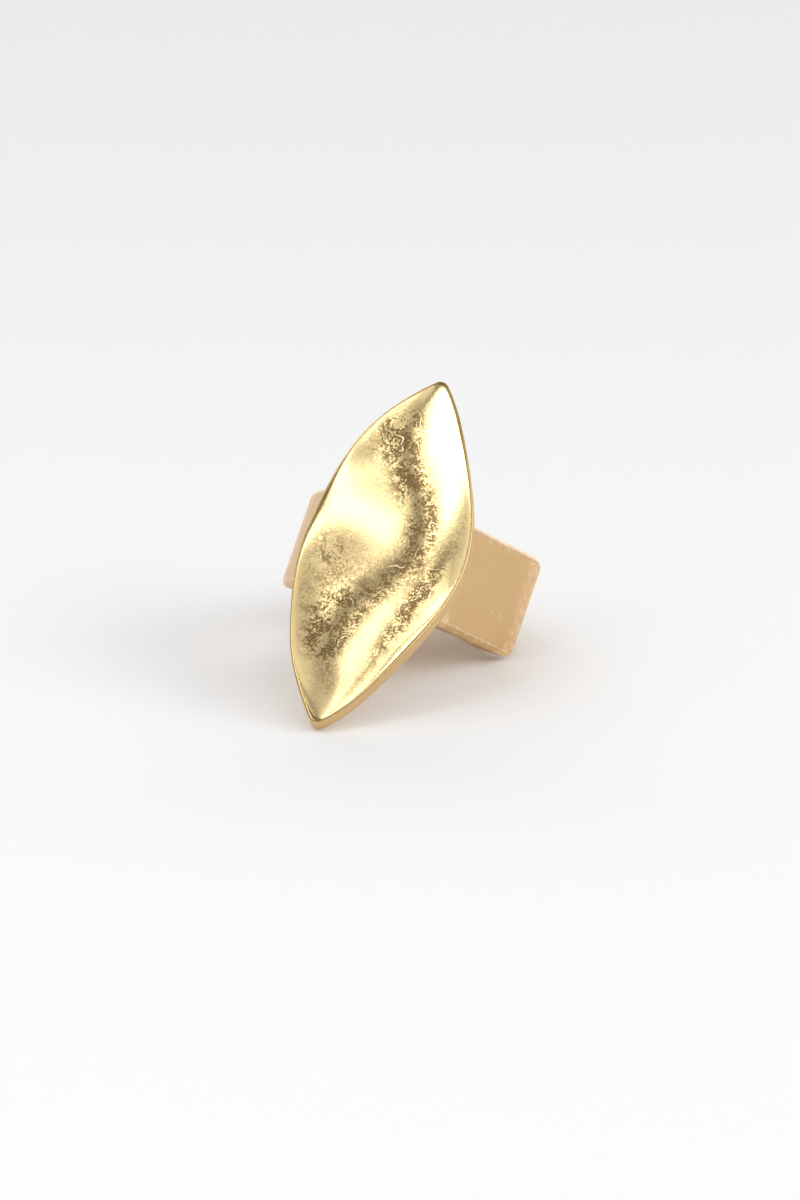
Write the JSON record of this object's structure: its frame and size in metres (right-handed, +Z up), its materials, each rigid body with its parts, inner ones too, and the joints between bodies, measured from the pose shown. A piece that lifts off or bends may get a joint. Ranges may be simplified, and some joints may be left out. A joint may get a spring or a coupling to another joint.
{
  "type": "stretch ring",
  "caption": "Statement stretch ring: a long dished leaf with a plain rim, soldered to a band of slab links strung on elastic cords",
  "frame": {"origin": "the centre of the ring's own box, at its base on the table", "axes": "+Z up from the table; -Y the side that the leaf faces; +X to the right of someone who looks at the leaf. The finger hole leans back and to the right from +Z"},
  "size_m": [0.0251, 0.0371, 0.0267],
  "materials": {
    "worn_gold": "burnished worn gold plating with brown antiquing",
    "satin_gold": "satin gold plating",
    "elastic": "clear stretch cord"
  },
  "bodies": {
    "root": {"leaf_head": "worn_gold", "shoulder_link_right": "satin_gold", "shoulder_link_left": "satin_gold", "side_link_right": "satin_gold", "side_link_left": "satin_gold", "rear_link_right": "satin_gold", "rear_link_left": "satin_gold", "elastic_upper": "elastic", "elastic_lower": "elastic"}
  },
  "joints": []
}
